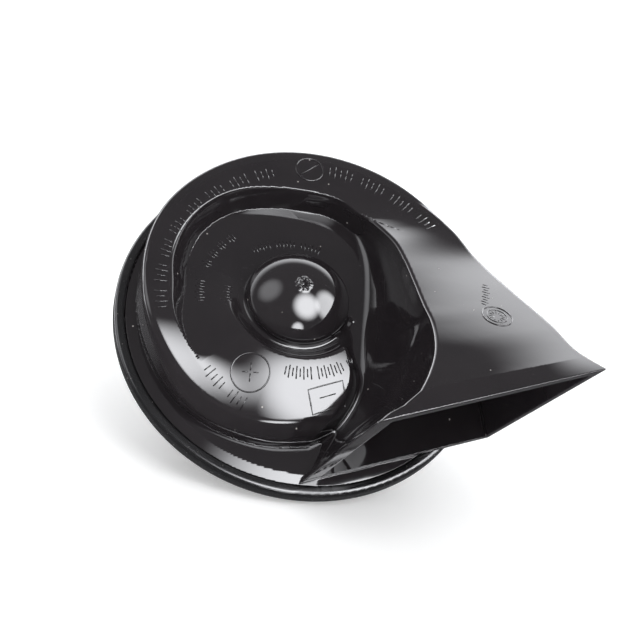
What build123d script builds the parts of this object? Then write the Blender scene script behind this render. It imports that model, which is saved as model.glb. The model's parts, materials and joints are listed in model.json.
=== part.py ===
"""Electric snail horn, 80 mm class, with its trumpet, vibrator, contact breaker, connector and bracket.

Millimetres. The origin is on the axis of the rim and of the mounting stud, in the plane where the trumpet's
flange meets the crimped lip. +Z points out of the trumpet's front, and the stud points along -Z. The bell's
mouth opens towards +X and -Y.
"""
from build123d import *
from math import cos, radians, sin
import os

# Rim and crimp
RIM_R = 40.0
SHEET = 0.9
CRIMP_INNER_R = RIM_R - SHEET
LIP_R = 37.9
FLANGE_R = 39.0
FLANGE_BOTTOM_Z = -1.2
GASKET = 0.4
DIAPHRAGM = 0.4
SEAT_Z = FLANGE_BOTTOM_Z - 2 * GASKET - DIAPHRAGM
RIM_FILLET = 1.8

# Steel cup
CUP_R = 34.0
CUP_STEP_Z = -13.0
POT_R = 25.0
POT_BASE_Z = -22.0
SHELF_Z = CUP_STEP_Z + SHEET
POT_FLOOR_Z = POT_BASE_Z + SHEET

# Trumpet
BODY_R = 37.8
BODY_FRONT_Z = 11.5
SHOULDER = 1.2
FOOT_Z = 1.0
PARTING_Z = 3.0
CHANNEL_FLOOR_Z = 2.4
WALL = 2.0
DOME_X, DOME_Y = -2.7, 0.5
DOME_R = 10.9
DOME_EDGE_Z = 10.2
DOME_TOP_Z = 15.5
POCKET_FOOT_R = 24.2
POCKET_TOP_R = 26.8
POCKET_START = 214
POCKET_END = -30
POCKET_DEEP_Z = 5.0
RAMP_Z = 10.3

POCKET_FALL = 2.2
POCKET_STEPS = 16
CHANNEL_INNER_R = 13.5
OUTER_TURN_R = 28.6
CHAMBER_TOP_Z = -0.6
THROAT_R = 6.3
GATE_R = 1.1

# Bell: its sections stand across the flow, in planes parallel to the mouth's long side
MOUTH_ANGLE = 21.2
MOUTH_LEAN = 0.135
PAST_MOUTH = 4.0

# Vibrator
STUD_R = 4.0
STUD_END_Z = -33.8
CORE_R = 6.0
POLE_Z = -9.8
ARMATURE_R = 11.0
ARMATURE_Z = -9.0
COLLAR_R = 16.0
COLLAR_Z = -5.8
DISH_Z = -4.6
DISH_R = 12.0
DISH_RIM_R = 29.0
SPIGOT_R = 2.95
SPIGOT_TOP_Z = 0.6
SPIGOT_NUT = 3.0
CORE_FOOT_R = 8.0
CORE_FOOT = 1.2
BOBBIN_R = 17.0
BOBBIN_WALL = 0.9

# Contact breaker: leaves run along Y, and both are clamped at the stack
STACK_X, STACK_Y = 20.5, -19.6
STACK_SIZE = 6.0
LEAF_Z = -6.9
LEAF = 0.3
FIXED_ARM_Z = -5.5
FIXED_ARM = 0.4
CONTACT_Y = 4.0
CONTACT_R = 1.2
CONTACT_MEET_Z = -6.05
ADJUSTER_X, ADJUSTER_Y = 27.5, 8.5
ADJUSTER_R = 2.0
SLEEVE_R = 2.8
SCREW_TOP_Z = -8.5
SCREW_HEAD_Z = -18.0
SCREW_HEAD = 2.0
ADJUSTER_TIP_R = 1.2
RIVET_R = 0.8
RIVET_HEAD_R = 1.3
RIVET_OFFSET = 1.5
STACK_GAP = 0.2
SPACER = 0.4

# Connector
CONNECTOR_ANGLE = 120
CONNECTOR_RADIUS = 29.4
BLADE_WIDTH = 6.3
BLADE = 0.8
BLADE_PITCH = 8.4
SHROUD_WIDTH = 18.4
SHROUD_DEPTH = 8.0
SHROUD_END_Z = -28.0
SHROUD_WALL = 1.2
BLADE_END_Z = -26.0
EAR_X, EAR_Y = 11.6, -1.2
EAR = 1.6
TERMINAL_RIVET_R = 1.2
PLUG_X, PLUG_Y = 7.8, 2.5
WIRE_R = 0.5

# Bracket
BRACKET = 2.0
BRACKET_WIDTH = 18.0
BRACKET_ANGLE = 45
BRACKET_REACH = 36.0
BRACKET_DROP = 6.0
BRACKET_HOLE_R = 4.25
BRACKET_JOGGLE_X = (14.0, 22.0)
WASHER = 1.6
NUT_HEIGHT = 5.5
SEATING_GAP = 0.02

FAR = 100.0
GAP = 0.05


def disc(radius, low, high, x=0.0, y=0.0):
    """A cylinder standing along Z between two heights."""
    centred = Cylinder(radius, high - low, align=(Align.CENTER, Align.CENTER, Align.MIN))
    return Pos(x, y, low) * centred


def tube(outer, inner, low, high, x=0.0, y=0.0):
    """A ring of rectangular section."""
    return disc(outer, low, high, x, y) - disc(inner, low - 1, high + 1, x, y)


def block(x_low, x_high, y_low, y_high, z_low, z_high):
    """A box between two corners."""
    size = Box(x_high - x_low, y_high - y_low, z_high - z_low, align=(Align.MIN, Align.MIN, Align.MIN))
    return Pos(x_low, y_low, z_low) * size


def hexagon(across_flats, low, high):
    """A hexagonal prism on the Z axis."""
    return Pos(0, 0, low) * extrude(RegularPolygon(across_flats / 2, 6, major_radius=False), high - low)


def turned(points, angle=360.0):
    """A solid turned about Z from (radius, height) points."""
    return revolve(make_face(Plane.XZ * Polyline(*points, close=True)), Axis.Z, angle)


def swung(solid, degrees):
    """A solid turned about the Z axis."""
    return Rot(0, 0, degrees) * solid


def at_dome(solid):
    """A solid moved from the Z axis to the dome's axis."""
    return Pos(DOME_X, DOME_Y, 0) * solid


# ---------------------------------------------------------------- trumpet


def bell_point(across, along, height):
    """From the bell's own axes (along the mouth's long side, along the flow) to x and y."""
    c, s = cos(radians(MOUTH_ANGLE)), sin(radians(MOUTH_ANGLE))
    return (c * across + s * along, s * across - c * along, height)


def bell_section(along, lean, corners):
    """One four-sided section of the bell, leaning forward by lean for each millimetre of height."""
    points = [bell_point(across, along + lean * (height - FOOT_Z), height) for across, height in corners]
    return make_face(Polyline(*points, close=True))


# along, lean, inner foot, inner edge, inner height, outer edge, outer height, outer foot
BELL = [
    (-16.0, 0.00, 14.0, 19.5, 12.0, 34.0, 11.6, 34.0),
    (-5.0, 0.00, 9.3, 20.8, 17.0, 37.6, 12.6, 37.4),
    (6.0, 0.02, 4.6, 20.0, 20.8, 38.8, 16.4, 37.0),
    (16.5, 0.04, 0.4, 16.8, 26.2, 40.3, 21.2, 34.2),
    (25.5, 0.08, -4.6, 11.2, 31.2, 41.3, 26.8, 31.8),
    (35.2, MOUTH_LEAN, -12.3, 0.5, 35.0, 42.0, 35.0, 29.9),
]


def bell_outside():
    """The bell's outer form, from the body's front to the mouth."""
    sections = []
    for along, lean, inner_foot, inner, inner_z, outer, outer_z, outer_foot in BELL:
        corners = [(inner_foot, FOOT_Z), (inner, inner_z), (outer, outer_z), (outer_foot, FOOT_Z)]
        sections.append(bell_section(along, lean, corners))
    return loft(sections)


def bell_channel():
    """The air space in the bell, which runs out through the mouth."""
    sections = []
    for along, lean, inner_foot, inner, inner_z, outer, outer_z, outer_foot in BELL:
        corners = [
            (inner_foot + 1.6 * WALL, CHANNEL_FLOOR_Z),
            (inner + 0.8 * WALL, inner_z - WALL),
            (outer - WALL, outer_z - WALL),
            (outer_foot - WALL, CHANNEL_FLOOR_Z),
        ]
        sections.append(bell_section(along, lean, corners))
    out_of_mouth = Vector(*bell_point(0, 1, 0))
    return loft(sections) + extrude(sections[-1], PAST_MOUTH, out_of_mouth)


def ramp_sections(start, stop, count, profile):
    """Sections about the dome's axis at equal angles, each from profile(share of the way round)."""
    sections = []
    for step in range(count + 1):
        share = step / count
        angle = start + (stop - start) * share
        outline = make_face(Plane.XZ * Polyline(*profile(share), close=True))
        sections.append(at_dome(swung(outline, angle)))
    return sections


def pocket_floor(share):
    """Height of the snail pocket's floor, which falls quickly at first and then levels out."""
    return POCKET_DEEP_Z + (RAMP_Z - POCKET_DEEP_Z) * (1 - share) ** POCKET_FALL


def pocket():
    """The spiral pocket that the outer turn's wall stands around."""

    def profile(share):
        floor = pocket_floor(share)
        top = BODY_FRONT_Z + 2
        slope = (POCKET_TOP_R - POCKET_FOOT_R) / (BODY_FRONT_Z - POCKET_DEEP_Z)
        foot = POCKET_TOP_R - slope * (BODY_FRONT_Z - floor)
        return [(DOME_R - 2, floor), (foot, floor), (foot + slope * (top - floor), top), (DOME_R - 2, top)]

    return loft(ramp_sections(POCKET_START, POCKET_END, POCKET_STEPS, profile), ruled=True)


def dead_space():
    """The hollow under the pocket's floor, which keeps the moulding at one wall thickness."""

    def profile(share):
        ceiling = max(pocket_floor(share) - WALL, CHANNEL_FLOOR_Z + 0.4)
        return [
            (DOME_R + WALL, CHANNEL_FLOOR_Z),
            (POCKET_FOOT_R - WALL, CHANNEL_FLOOR_Z),
            (POCKET_FOOT_R - WALL, ceiling),
            (DOME_R + WALL, ceiling),
        ]

    return loft(ramp_sections(POCKET_START - 12, 80, 10, profile), ruled=True)


def first_turn_dip():
    """The shallow step down to the first turn, between the dome and the body's front face."""
    dip = [(DOME_R - 2, RAMP_Z), (POCKET_TOP_R - 2, RAMP_Z), (POCKET_TOP_R, BODY_FRONT_Z + 2),
           (DOME_R - 2, BODY_FRONT_Z + 2)]
    sweep_angle = POCKET_END + 360 - POCKET_START
    return at_dome(swung(turned(dip, sweep_angle), POCKET_START))


def cap(radius, edge_z, top_z, foot_z):
    """A round post with a spherical top, on the dome's axis."""
    rise = top_z - edge_z
    ball_r = (radius ** 2 + rise ** 2) / (2 * rise)
    half_x = radius / 2
    half_z = top_z - ball_r + (ball_r ** 2 - half_x ** 2) ** 0.5
    outline = Plane.XZ * (
        Polyline((0, top_z), (0, foot_z), (radius, foot_z), (radius, edge_z))
        + ThreePointArc((radius, edge_z), (half_x, half_z), (0, top_z))
    )
    return at_dome(revolve(make_face(outline), Axis.Z))


def turn_channel():
    """The air space from the throat round to the bell: the first turn, then the outer turn."""
    outer = BODY_R - WALL
    first = [(CHANNEL_INNER_R, CHANNEL_FLOOR_Z), (outer, CHANNEL_FLOOR_Z), (outer, RAMP_Z - WALL),
             (CHANNEL_INNER_R, RAMP_Z - WALL)]
    second = [(OUTER_TURN_R, CHANNEL_FLOOR_Z), (outer, CHANNEL_FLOOR_Z), (outer, BODY_FRONT_Z - WALL),
              (OUTER_TURN_R + 1.8 * WALL, BODY_FRONT_Z - WALL)]
    return swung(turned(first, 44), 218) + swung(turned(second, 160), 60)


def throat_window():
    """The opening from the dome's hollow to the first turn."""
    window = block(6, 17, -4, 4, CHANNEL_FLOOR_Z, RAMP_Z - WALL)
    return at_dome(swung(window, 236))


def trumpet_outside():
    body = disc(BODY_R, FOOT_Z, BODY_FRONT_Z)
    body = fillet(body.edges().filter_by(GeomType.CIRCLE).sort_by(Axis.Z)[-1], SHOULDER)
    body = body - pocket() - first_turn_dip()
    return body + bell_outside() + cap(DOME_R, DOME_EDGE_Z, DOME_TOP_Z, FOOT_Z)


def trumpet_inside():
    hollow_dome = cap(DOME_R - WALL, DOME_EDGE_Z - 0.6, DOME_TOP_Z - WALL, CHANNEL_FLOOR_Z)
    return [hollow_dome, turn_channel(), dead_space(), throat_window(), bell_channel()]


def shells():
    """The trumpet's two mouldings, welded together at the parting plane."""
    moulding = trumpet_outside()
    for hollow in trumpet_inside():
        moulding = moulding - hollow
    front = moulding - block(-FAR, FAR, -FAR, FAR, -FAR, PARTING_Z)
    front = front - disc(GATE_R, DOME_TOP_Z - 0.5, DOME_TOP_Z + 1, DOME_X, DOME_Y)
    back = moulding & block(-FAR, FAR, -FAR, FAR, -FAR, PARTING_Z)
    back = back + disc(LIP_R - 0.1, 0, FOOT_Z) + disc(FLANGE_R, FLANGE_BOTTOM_Z, 0)
    chamber = turned([(0, FLANGE_BOTTOM_Z - 1), (DISH_RIM_R + 1, FLANGE_BOTTOM_Z - 1),
                      (DISH_RIM_R, CHAMBER_TOP_Z), (0, CHAMBER_TOP_Z)])
    throat = disc(THROAT_R, FLANGE_BOTTOM_Z, PARTING_Z)
    return {"front_shell": front, "back_shell": back - chamber - throat}


# ---------------------------------------------------------------- housing and vibrator


def connector_place(solid):
    """Carries a solid to the connector: local x runs round the cup, and local y points outwards."""
    angle = radians(CONNECTOR_ANGLE)
    centre = Pos(CONNECTOR_RADIUS * cos(angle), CONNECTOR_RADIUS * sin(angle), 0)
    return centre * Rot(0, 0, CONNECTOR_ANGLE - 90) * solid


def housing():
    """The drawn steel cup, whose rim is crimped over the back shell's flange."""
    outline = Polyline(
        (LIP_R, 0), (LIP_R, SHEET), (RIM_R, SHEET), (RIM_R, SEAT_Z - SHEET), (CUP_R, SEAT_Z - SHEET),
        (CUP_R, CUP_STEP_Z), (POT_R, CUP_STEP_Z), (POT_R, POT_BASE_Z), (STUD_R + 0.1, POT_BASE_Z),
        (STUD_R + 0.1, POT_FLOOR_Z), (POT_R - SHEET, POT_FLOOR_Z), (POT_R - SHEET, SHELF_Z),
        (CUP_R - SHEET, SHELF_Z), (CUP_R - SHEET, SEAT_Z), (CRIMP_INNER_R, SEAT_Z), (CRIMP_INNER_R, 0),
        close=True,
    )
    cup = revolve(make_face(Plane.XZ * outline), Axis.Z)
    bends = [(RIM_R, SHEET), (CUP_R, CUP_STEP_Z), (POT_R, POT_BASE_Z)]
    cup = fillet(edges_at(cup, bends), SHEET - GAP)
    cup = fillet(edges_at(cup, [(RIM_R, SEAT_Z - SHEET)]), RIM_FILLET)
    slot_x, slot_y = PLUG_X + 0.1, PLUG_Y + 0.1
    cup -= connector_place(block(-slot_x, slot_x, -slot_y, slot_y, CUP_STEP_Z - 1, SHELF_Z + 1))
    for side in (-1, 1):
        ear_hole = disc(TERMINAL_RIVET_R + GAP, CUP_STEP_Z - 1, SHELF_Z + 1, side * EAR_X, EAR_Y)
        cup -= connector_place(ear_hole)
        cup -= rivet_hole(side, SEATING_GAP, CUP_STEP_Z, SHELF_Z)
    return cup - disc(SLEEVE_R, CUP_STEP_Z - 1, SHELF_Z + 1, ADJUSTER_X, ADJUSTER_Y)


def rivet_hole(side, clearance, low, high):
    """A hole for one of the breaker's two rivets, through a plate between two heights."""
    return disc(RIVET_R + clearance, low - 1, high + 1, STACK_X + side * RIVET_OFFSET, STACK_Y)


def edges_at(solid, wanted):
    """The solid's round edges at the wanted (radius, height) places."""
    found = []
    for edge in solid.edges().filter_by(GeomType.CIRCLE):
        for radius, height in wanted:
            if abs(edge.radius - radius) < 0.01 and abs(edge.arc_center.Z - height) < 0.01:
                found.append(edge)
    return found


def diaphragm():
    """A spring steel disc: flat rim, one cone, flat middle."""
    top = FLANGE_BOTTOM_Z - GASKET
    bore = SPIGOT_R + GAP
    outline = [
        (bore, DISH_Z), (DISH_R, DISH_Z), (DISH_RIM_R, top - DIAPHRAGM), (FLANGE_R, top - DIAPHRAGM),
        (FLANGE_R, top), (DISH_RIM_R, top), (DISH_R, DISH_Z + DIAPHRAGM), (bore, DISH_Z + DIAPHRAGM),
    ]
    return turned(outline)


def armature():
    body = disc(ARMATURE_R, ARMATURE_Z, COLLAR_Z) + disc(COLLAR_R, COLLAR_Z, DISH_Z)
    return body + disc(SPIGOT_R, DISH_Z, SPIGOT_TOP_Z)


def vibrator():
    front_gasket_z = FLANGE_BOTTOM_Z - GASKET
    washer_z = DISH_Z + DIAPHRAGM
    nut_z = washer_z + 0.8
    nut_top = nut_z + SPIGOT_NUT
    spigot_bore = SPIGOT_R + GAP
    return {
        "front_gasket": tube(FLANGE_R, DISH_RIM_R + 1, front_gasket_z, FLANGE_BOTTOM_Z),
        "rear_gasket": tube(FLANGE_R, CUP_R - SHEET + 0.2, SEAT_Z, SEAT_Z + GASKET),
        "diaphragm": diaphragm(),
        "armature": armature(),
        "armature_washer": tube(7, spigot_bore, washer_z, nut_z),
        "armature_nut": hexagon(10, nut_z, nut_top) - disc(spigot_bore, nut_z - 1, nut_top + 1),
    }


def electromagnet():
    """The core with its stud, and the coil that sits on it under a spring retainer."""
    core_foot_z = POT_FLOOR_Z + CORE_FOOT
    low, high = core_foot_z + 0.1, POLE_Z - 0.4
    bore = CORE_R + 0.1
    tube_r = bore + BOBBIN_WALL
    core = disc(CORE_FOOT_R, POT_FLOOR_Z, core_foot_z) + disc(CORE_R, core_foot_z, POLE_Z)
    core = core + disc(STUD_R, STUD_END_Z, POT_FLOOR_Z)
    core = chamfer(core.edges().filter_by(GeomType.CIRCLE).sort_by(Axis.Z)[0], 0.7)
    bobbin = tube(BOBBIN_R, bore, low, low + BOBBIN_WALL) + tube(BOBBIN_R, bore, high - BOBBIN_WALL, high)
    bobbin += tube(tube_r + 0.1, bore, low, high)
    winding_low, winding_high = low + BOBBIN_WALL + GAP, high - BOBBIN_WALL - GAP
    return {
        "pole_core": core,
        "coil_bobbin": bobbin,
        "coil_winding": tube(BOBBIN_R - 1.4, tube_r + 0.1 + GAP, winding_low, winding_high),
        "coil_retainer": tube(CORE_R + 3, CORE_R + SEATING_GAP, high + GAP, high + GAP + 0.25),
    }


# ---------------------------------------------------------------- contact breaker


def stack_plate(low, high):
    """One insulating plate of the clamped stack, with its rivet holes."""
    half = STACK_SIZE / 2
    plate = block(STACK_X - half, STACK_X + half, STACK_Y - half, STACK_Y + half, low, high)
    for side in (-1, 1):
        plate -= rivet_hole(side, 0, low, high)
    return plate


def leaf_strip(half_width, y_high, low, high):
    """A flat leaf from the stack along +Y, with clearance round the rivets."""
    y_low = STACK_Y - STACK_SIZE / 2 + 0.4
    strip = block(STACK_X - half_width, STACK_X + half_width, y_low, y_high, low, high)
    for side in (-1, 1):
        strip -= rivet_hole(side, STACK_GAP, low, high)
    return strip


def breaker():
    """The moving and the fixed contact arm, clamped between insulating plates by two rivets."""
    leaf_top = LEAF_Z + LEAF
    arm_top = FIXED_ARM_Z + FIXED_ARM
    spring_arm = leaf_strip(2.8, CONTACT_Y + 3, LEAF_Z, leaf_top)
    spring_arm += block(14.4, STACK_X, -2, 2, LEAF_Z, leaf_top)
    fixed_arm = leaf_strip(2.6, 11, FIXED_ARM_Z, arm_top)
    fixed_arm += block(STACK_X, 29.4, 6.4, 10.6, FIXED_ARM_Z, arm_top)
    rivets = Compound(children=[breaker_rivet(side) for side in (-1, 1)])
    base = stack_plate(SHELF_Z, LEAF_Z - STACK_GAP)
    spacers = Compound(children=[
        stack_plate(leaf_top + STACK_GAP, FIXED_ARM_Z - STACK_GAP),
        stack_plate(arm_top + STACK_GAP, arm_top + STACK_GAP + SPACER),
    ])
    return {
        "breaker_base": base,
        "breaker_spacers": spacers,
        "breaker_rivets": rivets,
        "breaker_spring_arm": spring_arm,
        "spring_arm_pad": block(14.6, 16.8, -1.6, 1.6, leaf_top, COLLAR_Z - 0.1),
        "moving_contact_tip": disc(CONTACT_R, leaf_top, CONTACT_MEET_Z, STACK_X, CONTACT_Y),
        "breaker_fixed_arm": fixed_arm,
        "fixed_contact_tip": disc(CONTACT_R, CONTACT_MEET_Z, FIXED_ARM_Z, STACK_X, CONTACT_Y),
    }


def breaker_rivet(side):
    """One rivet, headed under the cup's step and over the top spacer."""
    x = STACK_X + side * RIVET_OFFSET
    top = FIXED_ARM_Z + FIXED_ARM + STACK_GAP + SPACER
    head_low, head_top = CUP_STEP_Z - 0.6, top + 0.4
    rivet = disc(RIVET_R, head_low, top, x, STACK_Y)
    rivet += disc(RIVET_HEAD_R, head_low, CUP_STEP_Z, x, STACK_Y)
    return rivet + disc(RIVET_HEAD_R, top, head_top, x, STACK_Y)


def adjuster():
    """The screw that sets the fixed arm, its threaded sleeve and its insulating tip."""
    sleeve = tube(SLEEVE_R, ADJUSTER_R + 2 * SEATING_GAP, CUP_STEP_Z - 1.6, SHELF_Z + 2)
    sleeve += tube(SLEEVE_R + 1, SLEEVE_R - 0.2, SHELF_Z, SHELF_Z + 0.8)
    head_top = SCREW_HEAD_Z + SCREW_HEAD
    screw = disc(ADJUSTER_R, head_top, SCREW_TOP_Z) + hexagon(3 * ADJUSTER_R, SCREW_HEAD_Z, head_top)
    screw -= block(-5, 5, -0.5, 0.5, SCREW_HEAD_Z - 1, SCREW_HEAD_Z + 1)
    place = Pos(ADJUSTER_X, ADJUSTER_Y, 0)
    return {
        "adjuster_sleeve": place * sleeve,
        "adjusting_screw": place * screw,
        "adjuster_tip": disc(ADJUSTER_TIP_R, SCREW_TOP_Z, FIXED_ARM_Z - GAP, ADJUSTER_X, ADJUSTER_Y),
    }


def spark_resistor():
    """A small wirewound resistor across the contacts, lying on the cup's shelf."""
    body_r, lead_r = 2.2, 0.4
    body = Cylinder(body_r, 9) + Cylinder(lead_r, 15)
    return Pos(2 - CUP_R + SHEET + body_r + 0.5, -2, SHELF_Z + body_r + GAP) * Rot(90, 0, 0) * body


# ---------------------------------------------------------------- connector and wires


def blade(side):
    """A standard flat tab with its latch hole, from inside the cup to the plug's mouth."""
    centre = side * BLADE_PITCH / 2
    half = BLADE_WIDTH / 2
    tab = block(centre - half, centre + half, -BLADE / 2, BLADE / 2, BLADE_END_Z, SHELF_Z + 2.2)
    tab -= Pos(centre, 0, BLADE_END_Z + 3.6) * Rot(90, 0, 0) * Cylinder(0.9, 4)
    return connector_place(tab)


def connector_shroud():
    """The plug's socket, with a latch, two riveted ears and a plug that fills the cup's slot."""
    width, depth = SHROUD_WIDTH / 2, SHROUD_DEPTH / 2
    inner_width, inner_depth = width - SHROUD_WALL, depth - SHROUD_WALL
    ear_end = EAR_X + 3
    latch_z = SHROUD_END_Z + 4
    base_z = CUP_STEP_Z - 2.5
    body = block(-width, width, -depth, depth, SHROUD_END_Z, CUP_STEP_Z)
    body = fillet(body.edges().filter_by(Axis.Z), SHROUD_WALL)
    body -= block(-inner_width, inner_width, -inner_depth, inner_depth, SHROUD_END_Z - 1, base_z)
    body += block(-PLUG_X, PLUG_X, -PLUG_Y, PLUG_Y, CUP_STEP_Z, SHELF_Z + 0.5)
    body += block(-ear_end, ear_end, EAR_Y - 2.6, EAR_Y + 2.7, CUP_STEP_Z - EAR, CUP_STEP_Z)
    body += block(-PLUG_Y, PLUG_Y, depth, depth + SHROUD_WALL, latch_z, latch_z + 4)
    for side in (-1, 1):
        centre = side * BLADE_PITCH / 2
        half, half_thick = BLADE_WIDTH / 2 + SEATING_GAP, BLADE / 2 + SEATING_GAP
        body -= block(centre - half, centre + half, -half_thick, half_thick, base_z - 1, SHELF_Z + 2)
        body -= disc(TERMINAL_RIVET_R + GAP, base_z, CUP_STEP_Z + 0.01, side * EAR_X, EAR_Y)
    return connector_place(body)


def terminal_rivet(side):
    """One rivet through a connector ear and the cup's step."""
    low, high = CUP_STEP_Z - EAR, SHELF_Z
    head = 0.8
    rivet = disc(TERMINAL_RIVET_R, low, high, side * EAR_X, EAR_Y)
    rivet += disc(TERMINAL_RIVET_R + 0.9, low - head, low, side * EAR_X, EAR_Y)
    rivet += disc(TERMINAL_RIVET_R + 0.8, high, high + head, side * EAR_X, EAR_Y)
    return connector_place(rivet)


def wire(points):
    """A round insulated lead through the given points."""
    path = Spline(*points)
    section = Plane(origin=path @ 0, z_dir=path % 0) * Circle(WIRE_R)
    return sweep(section, path)


def round_the_cup(radius, start, stop, count, height):
    """Points on a circle about Z."""
    angles = [radians(start + (stop - start) * step / count) for step in range(count + 1)]
    return [(radius * cos(angle), radius * sin(angle), height) for angle in angles]


def lead_wires():
    """The supply lead round the cup, and the coil's two leads."""
    supply = [(-10.6, 28.6, -8.6)] + round_the_cup(31.4, 100, -30, 6, -8.6) + [(24.4, -18.6, -9.6)]
    to_coil = [(-17.6, 22.4, -9.3), (-16.4, 17.0, -8.9), (-13.0, 11.6, -9.5)]
    from_coil = [(11.6, -12.6, -9.5), (14.6, -15.2, -9.1), (16.9, -18.0, -9.6)]
    return Compound(children=[wire(points) for points in (supply, to_coil, from_coil)])


# ---------------------------------------------------------------- mounting


def mounting_bracket():
    """A pressed strap with one joggle; one hole takes the stud and the far one takes the vehicle's bolt."""
    top = POT_BASE_Z - SEATING_GAP
    low = top - BRACKET_DROP
    edge = BRACKET_WIDTH / 2
    far_end = BRACKET_REACH + edge
    bend_in, bend_out = BRACKET_JOGGLE_X
    spine = Polyline((-edge, top), (bend_in, top), (bend_out, low), (far_end, low), (far_end, low - BRACKET),
                     (bend_out - 1, low - BRACKET), (bend_in - 1, top - BRACKET), (-edge, top - BRACKET),
                     close=True)
    strap = extrude(make_face(Plane.XZ * spine), edge, both=True)
    outline = SlotCenterToCenter(BRACKET_REACH, BRACKET_WIDTH)
    strap &= Pos(BRACKET_REACH / 2, 0, low - 20) * extrude(outline, 40)
    for x in (0, BRACKET_REACH):
        strap -= disc(BRACKET_HOLE_R, low - 20, top + 1, x)
    return swung(strap, BRACKET_ANGLE)


def mounting():
    """The bracket, and the split washer and nut that clamp it on the stud."""
    washer_high = POT_BASE_Z - BRACKET - 2 * SEATING_GAP
    washer_low = washer_high - WASHER
    nut_low = washer_low - NUT_HEIGHT
    washer = tube(7.2, STUD_R + 0.15, washer_low, washer_high)
    washer -= block(0, 10, -0.6, 0.6, washer_low - 1, washer_high + 1)
    nut = hexagon(13, nut_low, washer_low) - disc(STUD_R + SEATING_GAP, nut_low - 1, washer_low + 1)
    face_r, corner_r, bevel = 6.4, 7.6, 0.8
    nut &= turned([(0, nut_low), (face_r, nut_low), (corner_r, nut_low + bevel),
                   (corner_r, washer_low - bevel), (face_r, washer_low), (0, washer_low)])
    return {"mounting_bracket": mounting_bracket(), "lock_washer": washer, "stud_nut": nut}


def horn():
    """Every sub-part by name."""
    parts = {"housing": housing(), "spark_resistor": spark_resistor(), "lead_wires": lead_wires()}
    parts["connector_shroud"] = connector_shroud()
    parts["positive_blade"] = blade(1)
    parts["negative_blade"] = blade(-1)
    parts["terminal_rivets"] = Compound(children=[terminal_rivet(-1), terminal_rivet(1)])
    for group in (shells(), vibrator(), electromagnet(), breaker(), adjuster(), mounting()):
        parts.update(group)
    return parts


os.makedirs("parts", exist_ok=True)
for name, solid in horn().items():
    export_step(solid, f"parts/{name}.step")
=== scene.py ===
"""Looks of the electric snail horn: a glossy black moulded trumpet on a crimped, painted steel housing.

The trumpet's two mouldings are solids described by one distance field, meshed here and smoothed by its
gradient. The field works in millimetres in the CAD frame, and the meshes are scaled to metres at the end.
"""

import json
import math

import bpy
import numpy as np
from mathutils import Matrix, Vector


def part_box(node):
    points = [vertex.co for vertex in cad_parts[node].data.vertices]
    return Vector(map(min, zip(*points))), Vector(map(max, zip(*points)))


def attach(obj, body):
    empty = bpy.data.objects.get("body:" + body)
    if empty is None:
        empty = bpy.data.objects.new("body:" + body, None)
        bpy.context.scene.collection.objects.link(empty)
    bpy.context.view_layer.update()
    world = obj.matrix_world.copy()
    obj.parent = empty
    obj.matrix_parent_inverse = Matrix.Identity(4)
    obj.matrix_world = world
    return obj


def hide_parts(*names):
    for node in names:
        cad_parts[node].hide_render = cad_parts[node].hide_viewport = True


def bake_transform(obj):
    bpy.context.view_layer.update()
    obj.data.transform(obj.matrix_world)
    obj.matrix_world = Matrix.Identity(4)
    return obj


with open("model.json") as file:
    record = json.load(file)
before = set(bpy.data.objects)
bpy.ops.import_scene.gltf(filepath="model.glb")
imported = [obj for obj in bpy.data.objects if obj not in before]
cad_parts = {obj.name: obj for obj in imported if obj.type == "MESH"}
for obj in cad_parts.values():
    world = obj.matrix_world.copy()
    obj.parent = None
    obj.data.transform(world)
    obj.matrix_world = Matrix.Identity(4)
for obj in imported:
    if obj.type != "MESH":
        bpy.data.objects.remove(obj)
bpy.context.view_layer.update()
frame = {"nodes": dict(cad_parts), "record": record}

MM = 0.001


def new_piece(name, data):
    """A new object of the scene, for a mesh, a light or a camera."""
    piece = bpy.data.objects.new(name, data)
    bpy.context.scene.collection.objects.link(piece)
    return piece


def node_box(name):
    """A CAD node's lowest and highest corner in millimetres."""
    low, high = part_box(name)
    return np.array(low) / MM, np.array(high) / MM


# ---------------------------------------------------------------- driving dimensions, from the frame

RIM_R = node_box("housing")[1][0]
PARTING_Z = node_box("front_shell")[0][2]
MOUTH_TOP_Z = node_box("front_shell")[1][2]
FLANGE_Z = node_box("back_shell")[0][2]
FLANGE_R = node_box("back_shell")[1][1]

BODY_R = RIM_R - 2.4
FOOT_Z = 1.0
FRONT_Z = 11.5
WALL = 1.9
CHANNEL_FLOOR_Z = PARTING_Z - 0.6
DOME = (-2.7, 0.5)
DOME_R = 10.9
DOME_BALL_R = 13.86
DOME_TOP_Z = 15.5
TURN_START_R = 15.0
TURN_TOP_Z = 11.3
MOAT_DEPTH = 2.7
POCKET_START = math.radians(-136)
MOUTH_ANGLE = math.radians(21.2)
MOUTH_LEAN = 0.135
MOUTH_FOOT = 35.2
LIP_START = 35.4
LIP_END = MOUTH_FOOT + MOUTH_LEAN * (MOUTH_TOP_Z - FOOT_Z)
LIP_BEAD = 0.7
BELL_START = -24.6
PLATE_LEVEL_R = 35.4
PLATE_FALL = 0.21
DISC_UNDER_Z = -0.5
CHAMBER_R = 29.0
CHAMBER_TOP_Z = -0.6
THROAT_R = 6.3
SEAM_HALF_GAP = 0.04

# Crown of the first turn, and the ring round it
MOAT_INSIDE = 3.2
MOAT_OUTSIDE = 0.4
TURN_FALL = 0.17
TURN_STEEPENING = 0.013
RING_FALL = 0.25
RING_LEVEL_R = 35

# Edges, as rounding radii
CUT_EDGE = 0.25
ROOF_EDGE = 0.7
BELL_FILLET = 0.9
DOME_FILLET = 0.8
DOME_EDGE = 0.6

# Meshing
FINE_CELL = 0.3
CELLS_IN_COARSE = 4
FIELD_CHUNK = 400000
FAR_OUTSIDE = 1e3

# ---------------------------------------------------------------- field helpers


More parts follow.
